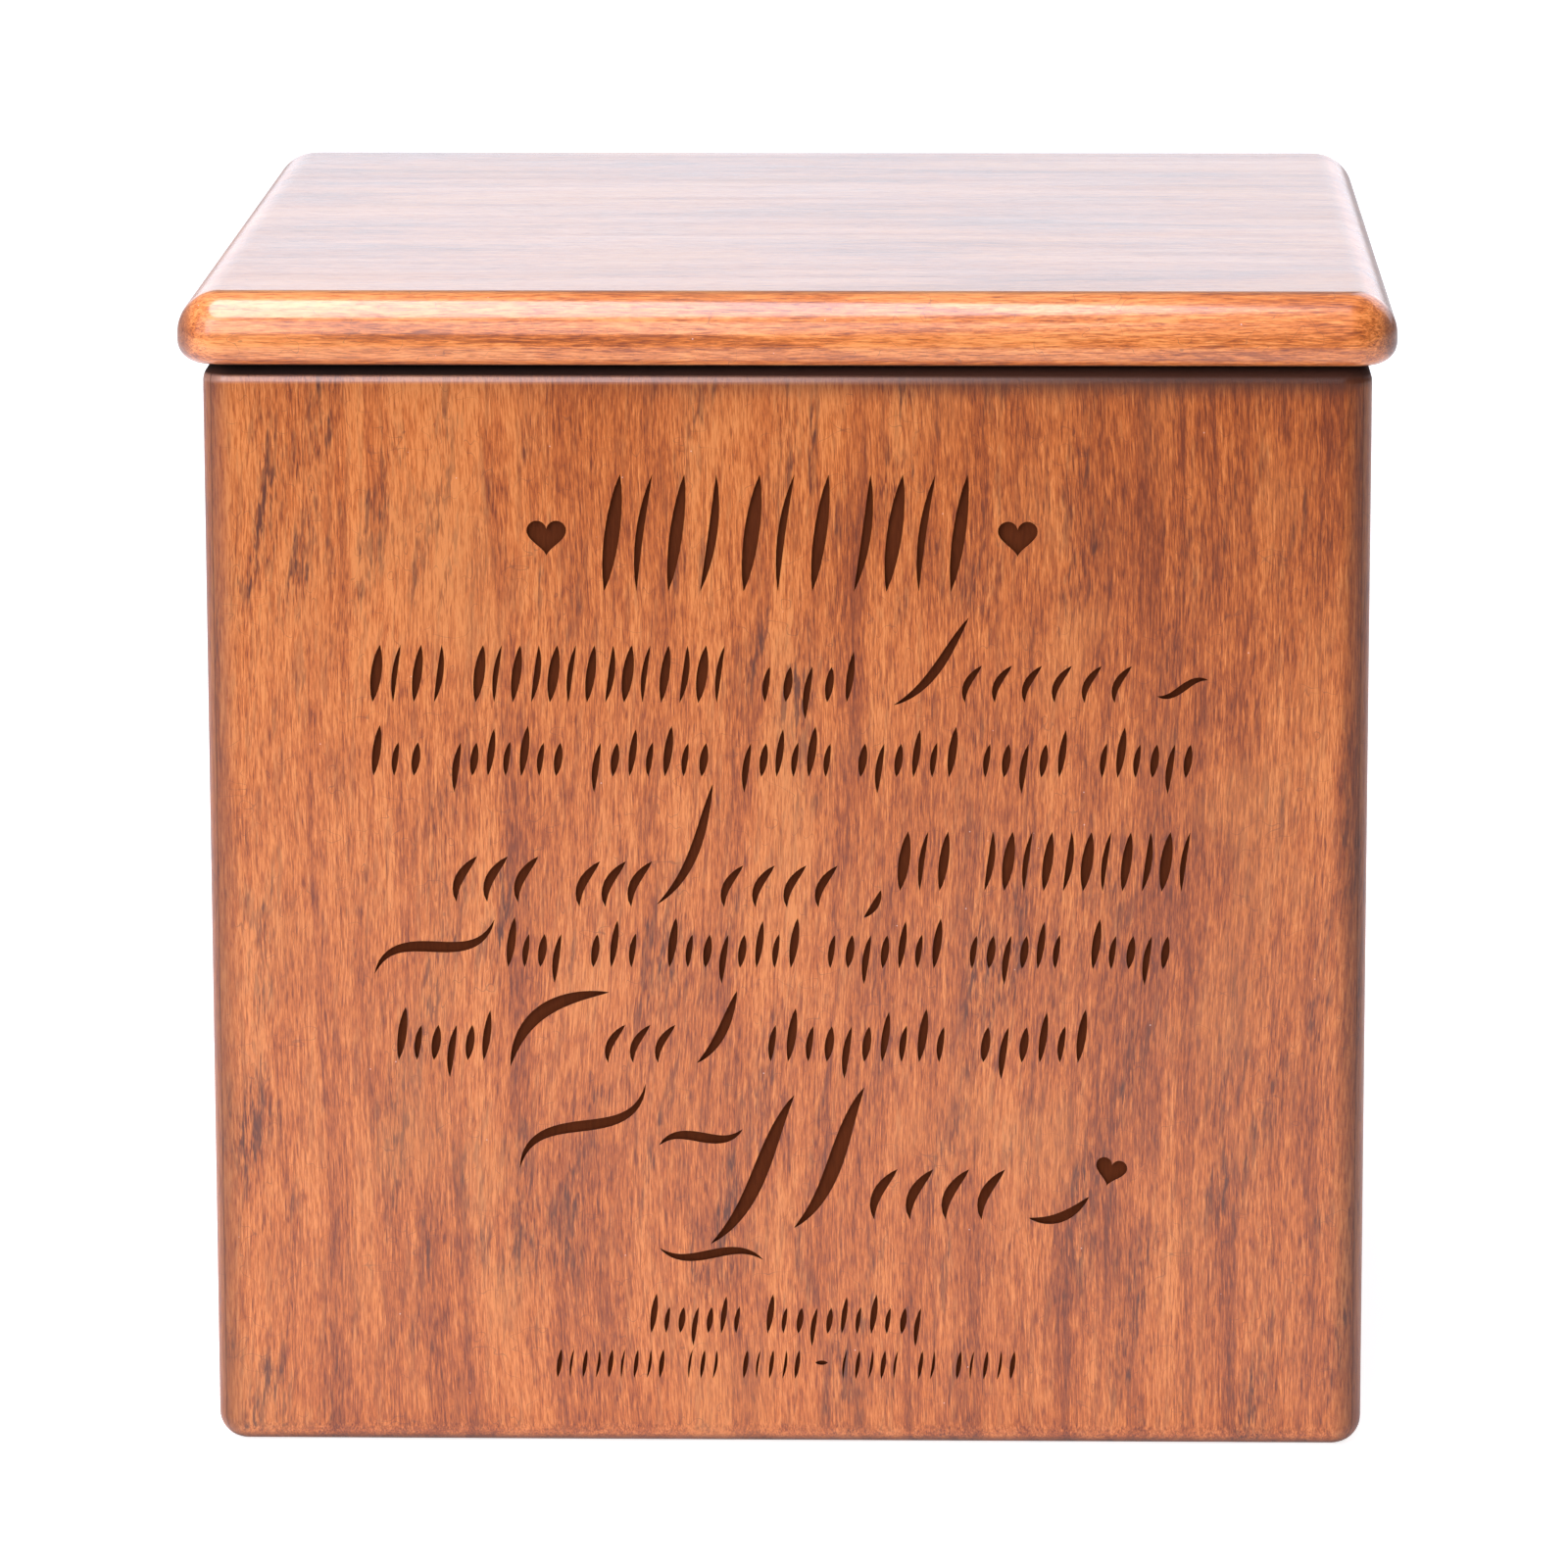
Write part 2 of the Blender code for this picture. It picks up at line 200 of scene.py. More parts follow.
# Pale painted highlight on the left of the walls' rim
PAINTED_HIGHLIGHT_PALE = (0.85, 0.50, 0.38, 1.0)
GLUE_BROWN = (0.085, 0.024, 0.010, 1.0)
# Painted shade that darkens flat faces looking up or down
FLAT_FACE_PAINTED_SHADE = (0.64, 0.67, 0.55, 1.0)

# Places on the walls in millimetres: half their width, their middle height and top, where a
# near-black painted shade lies under the lid, where painted shade darkens the rounded upright edges
# and the rim, where the rim is glossier under a pale painted highlight, and from where to where
# along the rim the pale painted highlight and gloss fade out and the painted shade comes in
HALF_WIDTH = BODY_WIDTH * 500.0
MIDDLE_HEIGHT = BODY_HEIGHT * 500.0
BODY_TOP = BODY_HEIGHT * 1000.0
CROWN_PAINTED_SHADE = (BODY_TOP - 1.75, BODY_TOP - 1.15, 0.0, 1.0)
EDGE_PAINTED_SHADE = (HALF_WIDTH - 5.5, HALF_WIDTH - 1.0)
RIM_PAINTED_SHADE = (BODY_TOP - 5.5, BODY_TOP - 1.4)
RIM_GLOSS_AND_PAINTED_HIGHLIGHT = (BODY_TOP - 2.7, BODY_TOP - 2.1)
RIM_PAINTED_SHADE_FROM_TO = (-60.0, 50.0)
GLOSS_AND_PAINTED_HIGHLIGHT_FROM_TO = (-30.0, 60.0)

# How light the stain is on the whole, how much darker the colour is made with each millimetre to
# the right and, on the walls, towards the upper right, partly a painted shade where less light
# falls and partly the plank's own variation, and how thick and how dull the lacquer is
STAIN_LIGHTNESS = 0.618
DARKER_RIGHT = 0.0009
DARKER_UPPER_RIGHT = 0.000014
LACQUER = 0.62
DULLNESS = 0.36

# How far the fibres wander, how far beside and behind the board's middle the growth rings have
# their centre and how wide a year is, in millimetres, and the relief of the grain in metres
FIBRE_WANDER = 6.0
RING_CENTRE = (24.0, 46.0)
YEAR_WIDTH = 5.2
FIBRE_RELIEF = 0.000020
COARSE_RELIEF = 0.000016
PORE_RELIEF = 0.000012


class Wire:
    """A node socket that can stand in a Python expression, which adds the nodes that it needs."""

    def __init__(self, tree, socket=None):
        self.tree = tree
        self.socket = socket

    def node(self, kind, settings=None, inputs=None, output=0):
        """Adds any node: its settings first, then the values or links of its inputs."""
        made = self.tree.nodes.new(kind)
        for name, value in (settings or {}).items():
            if name == "stops":
                elements = made.color_ramp.elements
                elements[0].position, elements[0].color = value[0]
                elements[-1].position, elements[-1].color = value[-1]
                for position, colour in value[1:-1]:
                    elements.new(position).color = colour
            elif name == "tree":
                made.node_tree = value
            else:
                setattr(made, name, value)
        for name, value in (inputs or {}).items():
            for part in value if isinstance(value, list) else [value]:
                if isinstance(part, Wire):
                    self.tree.links.new(part.socket, made.inputs[name])
                else:
                    made.inputs[name].default_value = part
        return Wire(self.tree, made.outputs[output]) if made.outputs else None

    def also(self, output):
        """Another output of the same node."""
        return Wire(self.tree, self.socket.node.outputs[output])

    def sum(self, operation, first, second=0.0, third=0.0, clamp=False):
        """A Math node."""
        return self.node("ShaderNodeMath", {"operation": operation, "use_clamp": clamp},
                         {0: first, 1: second, 2: third})

    def vector(self, operation, first, second=(0.0, 0.0, 0.0), factor=1.0):
        """A Vector Math node."""
        return self.node("ShaderNodeVectorMath", {"operation": operation},
                         {0: first, 1: second, 3: factor})

    def between(self, low, high, start=0.0, end=1.0):
        """A soft step from start to end as the value goes from low to high."""
        return self.node("ShaderNodeMapRange", {"interpolation_type": "SMOOTHSTEP"},
                         {"Value": self, "From Min": low, "From Max": high,
                          "To Min": start, "To Max": end})

    def mixed(self, other, factor, blend="MIX"):
        """This colour with another one over it."""
        return self.node("ShaderNodeMix", {"data_type": "RGBA", "blend_type": blend},
                         {0: factor, 6: self, 7: other}, output=2)

    def __add__(self, other):
        return self.sum("ADD", self, other)

    __radd__ = __add__

    def __mul__(self, other):
        return self.sum("MULTIPLY", self, other)

    __rmul__ = __mul__

    def __sub__(self, other):
        return self.sum("SUBTRACT", self, other)

    def __rsub__(self, other):
        return self.sum("SUBTRACT", other, self)

    def __truediv__(self, other):
        return self.sum("DIVIDE", self, other)

    def __pow__(self, other):
        return self.sum("POWER", self, other)

    def __abs__(self):
        return self.sum("ABSOLUTE", self)


def new_material(name):
    """An empty node material, and the wire that adds nodes to it."""
    material = bpy.data.materials.new(name)
    material.use_nodes = True
    material.node_tree.nodes.clear()
    return material, Wire(material.node_tree)


def stained_wood(name, grain, seed, tone=(1.0, 1.0, 1.0), figure=1.0, shine=1.0, mitred=False,
                 painted_shade=None):
    """Stained cherry under lacquer.

    grain names the axes along the grain, across the board's face and through it. seed shifts the
    pattern, tone is the board's own colour against the others, figure the strength of its dark
    bands and shine the weight of its lacquer. A mitred board is darker along its glue line, has
    painted shade along its rounded upright edges and its rim, and a pale painted highlight on the
    rim's left. On the other boards a painted shade darkens the faces that look up or down, so that
    their rounded edges stand paler. The last argument gives two heights in millimetres, and the
    share of near-black painted shade that lies under the lid below the first and above the second.
    """
    material, wood = new_material(name)
    split = wood.node("ShaderNodeSeparateXYZ", inputs={
        "Vector": wood.node("ShaderNodeTexCoord", output="Object")})
    millimetres = {axis: split.also(axis) * 1000.0 for axis in "XYZ"}
    up, across, deep = (millimetres[axis] for axis in grain)
    facing = wood.node("ShaderNodeSeparateXYZ", inputs={
        "Vector": wood.node("ShaderNodeTexCoord", output="Normal")})
    end_grain = abs(facing.also(grain[0])).between(0.55, 0.85)
    shift = [seed * 173.0]

    def spots(width, length, detail=2.0, roughness=0.5, lean=0.0, middle=None):
        """Noise drawn out along the grain: its spots' width and length in millimetres, how much
        detail it has, how far it leans from the grain, and the line that it follows."""
        shift[0] += 41.3
        sideways = middle if middle is not None else across
        vector = wood.node("ShaderNodeCombineXYZ", inputs={
            "X": (sideways - up * lean) / width + shift[0],
            "Y": deep / width + shift[0] * 0.37,
            "Z": up / length + shift[0] * 0.71,
        })
        return wood.node("ShaderNodeTexNoise", inputs={
            "Vector": vector, "Scale": 1.0, "Detail": detail, "Roughness": roughness})

    # The fibres wander slowly from side to side, and every layer follows them
    wander = (spots(70.0, 85.0, 1.0) - 0.5) * FIBRE_WANDER
    line = across + wander

    # Growth rings round a centre that lies behind the board, drawn out by uneven years
    beside, below = line + RING_CENTRE[0], deep * 0.9 + RING_CENTRE[1] + up * 0.05
    years = (beside ** 2.0 + below ** 2.0) ** 0.5 / YEAR_WIDTH
    years = years + (spots(9.0, 140.0, 2.0, middle=line) - 0.5) * 1.5
    within = wood.sum("FRACT", years)
    late_wood = within.between(0.35, 0.93) * within.between(0.93, 1.0, 1.0, 0.0)
    late_wood = late_wood * spots(12.0, 60.0, 1.0, middle=line).between(0.36, 0.62)

    # Fibres, streaks, blotches of the stain, dark slanting figure, pores, flecks and dark flames
    fibres = spots(0.25, 3.0, 3.0, 0.74, middle=line)
    coarse = spots(0.62, 10.0, 3.0, 0.62, middle=line)
    streaks = spots(4.2, 64.0, 3.0, 0.60, middle=line)
    blotches = spots(17.0, 30.0, 2.0, 0.5, 0.12)
    figured = spots(7.5, 34.0, 4.0, 0.62, 0.20, middle=line)
    figured = figured.between(0.49, 0.68) * figure
    pores = spots(0.22, 2.6, 1.0, 0.5, middle=line).between(0.56, 0.66)
    flecks = spots(0.55, 3.4, 2.0, 0.6, middle=line).between(0.47, 0.62)
    tone_shift = spots(26.0, 130.0, 1.0)
    flames = spots(1.0, 9.0, 3.0, 0.62, 0.06, middle=line).between(0.54, 0.63) * figure

    # The stain's lightness picks a colour between its stops, and the dark figure lies over it
    # Partly painted shade: the colour darkens to the right and, on the walls, towards the upper
    # right
    drift = across * (up - MIDDLE_HEIGHT) * DARKER_UPPER_RIGHT if mitred else 0.0
    light = (STAIN_LIGHTNESS - drift + (fibres - 0.5) * 1.55 + (coarse - 0.5) * 0.95
             + (streaks - 0.5) * 0.80 + (blotches - 0.5) * 0.40 + (tone_shift - 0.5) * 0.45
             - across * DARKER_RIGHT - late_wood * 0.20 - pores * 0.34 * (0.55 + figured * 0.8))
    colour = wood.node("ShaderNodeValToRGB", {"stops": STAIN_STOPS}, {"Fac": light})
    dark_figure = figured * (0.12 + flecks * 0.50 + flames * 0.46) + flames * 0.22
    colour = colour.mixed(FIGURE_BROWN, dark_figure)
    colour = colour.mixed(PALE_CLOUD, blotches.between(0.52, 0.72) * 0.22)

    # Fine sanding scratches that took the stain, and specks of dust in the lacquer
    patches = spots(9.0, 9.0, 1.0)
    scratches = 0.0
    for width, length, start, end in ((11.0, 7.0, 0.0, 1.0), (6.0, 13.0, 1.0, 0.0)):
        bent = spots(width, length, 2.0, 0.6)
        hair = abs(bent - 0.5).between(0.0005, 0.0030, 1.0, 0.0)
        scratches = wood.sum("MAXIMUM", scratches, hair * patches.between(0.47, 0.56, start, end))
    colour = colour.mixed(SCRATCH_BROWN, scratches * 0.42)
    grid = wood.node("ShaderNodeCombineXYZ", inputs={"X": across, "Y": deep, "Z": up})
    dust = wood.node("ShaderNodeTexVoronoi", inputs={"Vector": grid, "Scale": 0.30})
    chance = dust.node("ShaderNodeSeparateColor", inputs={"Color": dust.also("Color")})
    speck = dust.between(0.018, 0.040, 1.0, 0.0) * chance.between(0.70, 0.75)
    colour = colour.mixed(DUST_WHITE, speck * 0.5)

    # End grain drinks more stain and shows the pores as dots
    dots = wood.node("ShaderNodeTexNoise", inputs={
        "Vector": grid, "Scale": 2.6, "Detail": 2.0, "Roughness": 0.6})
    end_colour = wood.node("ShaderNodeValToRGB", {"stops": END_GRAIN_STOPS}, {
        "Fac": dots * 0.8 + light * 0.2 - late_wood * 0.12})
    colour = colour.mixed(end_colour, end_grain * 0.85)

    # The lacquer, and a near-black painted shade where the lid shades the walls' crown and its own
    # underside, which is also made rough and bare of lacquer there. On a wall, painted shade
    # darkens the rounded upright edges and, towards the right, the rim, with less lacquer there. On
    # the left the rim is glossier and carries a pale painted highlight.
    coat = shine * (LACQUER - end_grain * 0.20 - pores * 0.10 + (streaks - 0.5) * 0.25)
    painted_shade_share = millimetres["Z"].between(*painted_shade) if painted_shade else 0.0
    colour = colour.mixed(PAINTED_SHADE_BROWN, painted_shade_share * 0.98)
    if mitred:
        # Painted shade: darker along the rounded upright edges and, towards the right, along the
        # rim
        painted_edge_shade = abs(across).between(*EDGE_PAINTED_SHADE)
        painted_rim_shade = up.between(*RIM_PAINTED_SHADE) * millimetres["X"].between(*RIM_PAINTED_SHADE_FROM_TO, 0.06, 0.93)
        gloss_and_painted_highlight = up.between(*RIM_GLOSS_AND_PAINTED_HIGHLIGHT) * millimetres["X"].between(*GLOSS_AND_PAINTED_HIGHLIGHT_FROM_TO, 0.52, 0.0)
        coat = coat * (1.0 - painted_edge_shade * 0.70) * (1.0 - painted_rim_shade * 0.80) + gloss_and_painted_highlight
        colour = colour.mixed(PAINTED_SHADE_WALL_BROWN, wood.sum("MAXIMUM", painted_edge_shade * 0.60, painted_rim_shade))
        # A pale painted highlight on the left of the rim, where the lacquer is also glossier
        colour = colour.mixed(PAINTED_HIGHLIGHT_PALE, gloss_and_painted_highlight * (1.0 - painted_shade_share) * 0.65)
        seam = abs(abs(millimetres["X"]) - abs(millimetres["Y"]))
        colour = colour.mixed(GLUE_BROWN, seam.between(0.06, 0.30, 0.45, 0.0))
    else:
        # Painted shade: faces that look straight up or down are darkened against the rounded edges
        level = abs(facing.also("Z")).between(0.93, 0.995)
        colour = colour.mixed(FLAT_FACE_PAINTED_SHADE, level, "MULTIPLY")
    colour = colour.mixed((*tone, 1.0), 1.0, "MULTIPLY")

    relief = ((fibres - 0.5) * FIBRE_RELIEF + (coarse - 0.5) * COARSE_RELIEF
              - pores * PORE_RELIEF)
    bump = wood.node("ShaderNodeBump", inputs={"Height": relief, "Distance": 1.0, "Strength": 1.0})
    roughness = (DULLNESS + (fibres - 0.5) * 0.20 + (blotches - 0.5) * 0.16 + end_grain * 0.08
                 + painted_shade_share * 0.60)
    shader = wood.node("ShaderNodeBsdfPrincipled", inputs={
        "Base Color": colour,
        "Roughness": roughness,
        "IOR": 1.5,
        "Normal": bump,
        "Coat Weight": coat * (1.0 - painted_shade_share),
        "Coat Roughness": 0.13,
        "Coat IOR": 1.6,
    })
    wood.node("ShaderNodeOutputMaterial", inputs={"Surface": shader})
    return material


CHAR_STOPS = (
    (0.30, (0.080, 0.0175, 0.0040, 1.0)),
    (0.70, (0.128, 0.0300, 0.0078, 1.0)),
)
# Painted shade on the strokes' walls, and the depths in millimetres over which it gives way to the
# floor's char
PAINTED_SHADE_CHAR_WALLS = (0.046, 0.0095, 0.0024, 1.0)
PAINTED_SHADE_CHAR_DEPTHS = (0.25, 0.55)


def burnt_wood(name):
    """The laser's char in the strokes: matt dark brown, streaked by fibres, and darker on the walls
    by a painted shade.
    """
    material, wood = new_material(name)
    split = wood.node("ShaderNodeSeparateXYZ", inputs={
        "Vector": wood.node("ShaderNodeTexCoord", output="Object")})
    across, deep, up = (split.also(axis) * 1000.0 for axis in "XYZ")
    vector = wood.node("ShaderNodeCombineXYZ", inputs={
        "X": across / 0.30, "Y": deep, "Z": up / 2.4})
    fibres = wood.node("ShaderNodeTexNoise", inputs={
        "Vector": vector, "Scale": 1.0, "Detail": 2.0, "Roughness": 0.6})
    cloud = wood.node("ShaderNodeTexNoise", inputs={
        "Vector": wood.node("ShaderNodeTexCoord", output="Object"), "Scale": 60.0, "Detail": 1.0})
    # Painted shade: the char turns darker up the strokes' walls, away from their floor
    share_clear_of_painted_shade = (deep + HALF_WIDTH).between(*PAINTED_SHADE_CHAR_DEPTHS)
    colour = wood.node("ShaderNodeValToRGB", {"stops": CHAR_STOPS}, {
        "Fac": fibres * 0.6 + cloud * 0.4})
    colour = colour.mixed(PAINTED_SHADE_CHAR_WALLS, 1.0 - share_clear_of_painted_shade)
    bump = wood.node("ShaderNodeBump", inputs={
        "Height": fibres * 0.00003, "Distance": 1.0, "Strength": 1.0})
    shader = wood.node("ShaderNodeBsdfPrincipled", inputs={
        "Base Color": colour,
        "Roughness": 0.80 + (fibres - 0.5) * 0.2,
        "IOR": 1.5,
        "Specular IOR Level": 0.08,
        "Normal": bump,
    })
    wood.node("ShaderNodeOutputMaterial", inputs={"Surface": shader})
    return material


def put_in_scene(name, mesh):
    """A new object with that mesh."""
    made = bpy.data.objects.new(name, mesh)
    bpy.context.scene.collection.objects.link(made)
    return made


def take_out(item):
    """Removes a helper object again."""
    bpy.data.objects.remove(item, do_unlink=True)


def evaluated_mesh(item):
    """The item's mesh with its modifiers worked in."""
    graph = bpy.context.evaluated_depsgraph_get()
    graph.update()
    return bpy.data.meshes.new_from_object(item.evaluated_get(graph), preserve_all_data_layers=True,
                                           depsgraph=graph)


def new_tree(name, sockets):
    """An empty Geometry Nodes tree with named inputs, and the wire that adds nodes to it."""
    tree = bpy.data.node_groups.new(name, "GeometryNodeTree")
    tree.interface.new_socket("Geometry", in_out="OUTPUT", socket_type="NodeSocketGeometry")
    for label, kind in sockets:
        tree.interface.new_socket(label, in_out="INPUT", socket_type="NodeSocket" + kind)
    return tree, Wire(tree)


def stroke_group():
    """One stroke as a flat ribbon on the board's face, which swells from a fine tip at each end."""
    tree, nodes = new_tree("engraved_stroke", (
        ("Start", "Vector"), ("End", "Vector"), ("Start Bow", "Float"), ("End Bow", "Float"),
        ("Weight", "Float"), ("Steps", "Int")))
    given = nodes.node("NodeGroupInput")
    start, end = given.also("Start"), given.also("End")
    along = nodes.vector("SUBTRACT", end, start)
    side = nodes.vector("CROSS_PRODUCT", along, (0.0, 1.0, 0.0))

    def handle(share, bow):
        """Where a handle of the stroke's curve lies."""
        ahead = nodes.vector("ADD", start, nodes.vector("SCALE", along, factor=share))
        return nodes.vector("ADD", ahead, nodes.vector("SCALE", side, factor=bow))

    curve = nodes.node("GeometryNodeCurvePrimitiveBezierSegment", {"mode": "POSITION"}, {
        "Resolution": given.also("Steps"),
        "Start": start,
        "Start Handle": handle(1 / 3, given.also("Start Bow")),
        "End Handle": handle(2 / 3, given.also("End Bow")),
        "End": end,
    })
    points = nodes.node("GeometryNodeResampleCurve", {"mode": "EVALUATED"}, {"Curve": curve})
    share = nodes.node("GeometryNodeInputIndex") / given.also("Steps")
    swell = nodes.sum("MAXIMUM", nodes.sum("SINE", share * math.pi), 0.0) ** SWELL
    width = nodes.sum("MAXIMUM", swell, FINEST_TIP) * given.also("Weight") / 2
    profile = nodes.node("GeometryNodeCurvePrimitiveLine", inputs={
        "Start": (0.0, -1.0, 0.0), "End": (0.0, 1.0, 0.0)})
    ribbon = nodes.node("GeometryNodeCurveToMesh", inputs={
        "Curve": points, "Profile Curve": profile, "Scale": width})
    nodes.node("NodeGroupOutput", inputs={"Geometry": ribbon})
    return tree


def as_pocket(nodes, ribbon, char):
    """Closes the end of a tree: ribbons grown into the board as solids, with the char on them."""
    inwards = nodes.node("ShaderNodeCombineXYZ", inputs={"Y": REACH + ENGRAVING_DEPTH})
    grown = nodes.node("GeometryNodeExtrudeMesh", {"mode": "FACES"}, {
        "Mesh": ribbon, "Offset": inwards, "Individual": False})
    cap = nodes.node("GeometryNodeFlipFaces", inputs={"Mesh": ribbon})
    solid = nodes.node("GeometryNodeMergeByDistance", inputs={
        "Geometry": nodes.node("GeometryNodeJoinGeometry", inputs={"Geometry": [grown, cap]}),
        "Distance": SAME_POINT})
    real = nodes.node("GeometryNodeRealizeInstances", inputs={"Geometry": solid})
    done = nodes.node("GeometryNodeSetMaterial", inputs={"Geometry": real, "Material": char})
    nodes.node("NodeGroupOutput", inputs={"Geometry": done})


def row_tree(name, rhythm, stroke, char):
    """A run of leaning strokes, which repeats a rhythm of stroke forms."""
    tree, nodes = new_tree(name, (
        ("First", "Vector"), ("Spacing", "Float"), ("Count", "Int"), ("Height", "Float"),
        ("Lean", "Float"), ("Weight", "Float"), ("Bow Fade", "Float"), ("First Beat", "Int")))
    given = nodes.node("NodeGroupInput")
    height, lean = given.also("Height"), given.also("Lean")
    forms = []
    for foot, top, bow, weight_share in rhythm:
        swing = height * lean * ((top - foot) / 2)
        form = nodes.node("GeometryNodeGroup", {"tree": stroke}, {
            "Start": nodes.node("ShaderNodeCombineXYZ", inputs={
                "X": swing * -1.0, "Z": height * foot}),
            "End": nodes.node("ShaderNodeCombineXYZ", inputs={"X": swing, "Z": height * top}),
            "Start Bow": given.also("Bow Fade") * bow * -1.0 + 2.0 * bow,
            "End Bow": given.also("Bow Fade") * bow,
            "Weight": given.also("Weight") * height * weight_share,
            "Steps": STROKE_STEPS,
        })
        forms.append(nodes.node("GeometryNodeGeometryToInstance", inputs={"Geometry": form}))
    offset = nodes.node("ShaderNodeCombineXYZ", inputs={"X": given.also("Spacing")})
    places = nodes.node("GeometryNodeMeshLine", {"mode": "OFFSET"}, {
        "Count": given.also("Count"), "Start Location": given.also("First"), "Offset": offset})
    stroke_number = nodes.node("GeometryNodeInputIndex") + given.also("First Beat")
    beat = nodes.sum("FLOORED_MODULO", stroke_number, float(len(rhythm)))
    choice = nodes.node("GeometryNodeJoinGeometry", inputs={"Geometry": list(reversed(forms))})
    placed = nodes.node("GeometryNodeInstanceOnPoints", inputs={
        "Points": places,
        "Instance": choice,
        "Pick Instance": True,
        "Instance Index": beat,
    })
    ribbons = nodes.node("GeometryNodeRealizeInstances", inputs={"Geometry": placed})
    as_pocket(nodes, ribbons, char)
    return tree


def sweep_tree(name, stroke, char):
    """One long sweep."""
    labels = (("Start", "Vector"), ("End", "Vector"), ("Start Bow", "Float"), ("End Bow", "Float"),
              ("Weight", "Float"))
    tree, nodes = new_tree(name, labels)
    given = nodes.node("NodeGroupInput")
    ribbon = nodes.node("GeometryNodeGroup", {"tree": stroke}, {
        "Steps": SWEEP_STEPS, **{label: given.also(label) for label, kind in labels}})
    as_pocket(nodes, ribbon, char)
    return tree


def made_by(tree, inputs):
    """The plain mesh that a tree makes from named inputs."""
    helper = put_in_scene("helper", bpy.data.meshes.new("helper"))
    modifier = helper.modifiers.new("tree", "NODES")
    modifier.node_group = tree
    for socket in tree.interface.items_tree:
        if socket.in_out == "INPUT":
            modifier[socket.identifier] = inputs[socket.name]
    mesh = evaluated_mesh(helper)
    take_out(helper)
    return mesh


def on_face(share):
    """A point just in front of the board's face, from shares of the engraved field."""
    return Vector((-FIELD_WIDTH / 2 + share[0] * FIELD_WIDTH, -BODY_WIDTH / 2 - REACH,
                   FIELD_FOOT_MARGIN + share[1] * FIELD_HEIGHT))


def heart_solid(shape, middle, width, tilt):
    """Adds a heart, from the usual sine and cosine formula in its own units."""
    turn = Matrix.Rotation(math.radians(-tilt), 3, "Y") * (width * FIELD_WIDTH / HEART_UNITS)
    ring = []
    for point in range(HEART_POINTS):
        angle = 2 * math.pi * point / HEART_POINTS
        across = 16 * math.sin(angle) ** 3
        rise = (13 * math.cos(angle) - 5 * math.cos(2 * angle)
                - 2 * math.cos(3 * angle) - math.cos(4 * angle))
        ring.append(shape.verts.new(on_face(middle) + turn @ Vector((across, 0.0, rise))))
    cap = shape.faces.new(ring)
    grown = bmesh.ops.extrude_face_region(shape, geom=[cap], use_keep_orig=True)
    pushed = [item for item in grown["geom"] if isinstance(item, bmesh.types.BMVert)]
    bmesh.ops.translate(shape, vec=(0.0, REACH + ENGRAVING_DEPTH, 0.0), verts=pushed)


def engraving(char):
    """Every stroke and heart as one set of shallow solids, which the board's face is cut with."""
    stroke = stroke_group()
    trees = {
        "even": row_tree("even_row", EVEN_RHYTHM, stroke, char),
        "mixed": row_tree("mixed_row", MIXED_RHYTHM, stroke, char),
        "crescent": row_tree("crescent_row", CRESCENT_RHYTHM, stroke, char),
    }
    sweep = sweep_tree("long_sweep", stroke, char)
    meshes = []
    for foot, height, weight, spacing, rhythm, beat, runs in STROKE_ROWS:
        for start, end in runs:
            count = max(1, round((end - start) / spacing))
            step = (end - start) / count
            meshes.append(made_by(trees[rhythm], {
                "First": on_face((start + step / 2, foot)), "Spacing": step * FIELD_WIDTH,
                "Count": count, "Height": height * FIELD_HEIGHT, "Lean": STROKE_LEAN,
                "Weight": weight, "Bow Fade": 1.0, "First Beat": beat}))
            beat += count
    for start, end, foot, height, count in CRESCENT_RUNS:
        rise = height * FIELD_HEIGHT
        first = on_face((start, foot)) + Vector((rise * CRESCENT_LEAN / 2, 0.0, 0.0))
        meshes.append(made_by(trees["crescent"], {
            "First": first, "Spacing": (end - start) / count * FIELD_WIDTH, "Count": count,
            "Height": rise, "Lean": CRESCENT_LEAN, "Weight": CRESCENT_WEIGHT,
            "Bow Fade": CRESCENT_BOW_FADE, "First Beat": 0}))
    for start, end, first_bow, last_bow, weight in SWEEPS:
        meshes.append(made_by(sweep, {
            "Start": on_face(start), "End": on_face(end), "Start Bow": first_bow,
            "End Bow": last_bow, "Weight": weight * FIELD_HEIGHT}))
    shape = bmesh.new()
    for mesh in meshes:
        shape.from_mesh(mesh)
        bpy.data.meshes.remove(mesh)
    for middle, width, tilt in HEARTS:
        heart_solid(shape, middle, width, tilt)
    bmesh.ops.recalc_face_normals(shape, faces=shape.faces)
    return shape


def block(width, depth, foot, top):
    """A block centred on the Z axis."""
    shape = bmesh.new()
    bmesh.ops.create_cube(shape, size=1.0)
    bmesh.ops.scale(shape, vec=(width, depth, top - foot), verts=shape.verts)
    bmesh.ops.translate(shape, vec=(0.0, 0.0, (foot + top) / 2), verts=shape.verts)
    return shape


def rounded_block(width, foot, top, corner, upper, lower):
    """A square block with rounded upright corners and rims: each a radius and its segments."""
    shape = block(width, width, foot, top)
    upright = [e for e in shape.edges if abs(e.verts[0].co.z - e.verts[1].co.z) > REACH]
    bmesh.ops.bevel(shape, geom=upright, offset=corner[0], offset_type="OFFSET",
                    segments=corner[1], profile=0.5, affect="EDGES")
    for level, (radius, segments) in ((top, upper), (foot, lower)):
        rim = [e for e in shape.edges
               if all(abs(v.co.z - level) < LEVEL_TOLERANCE for v in e.verts)]
        bmesh.ops.bevel(shape, geom=rim, offset=radius, offset_type="OFFSET",
                        segments=segments, profile=0.5, affect="EDGES")
    return shape


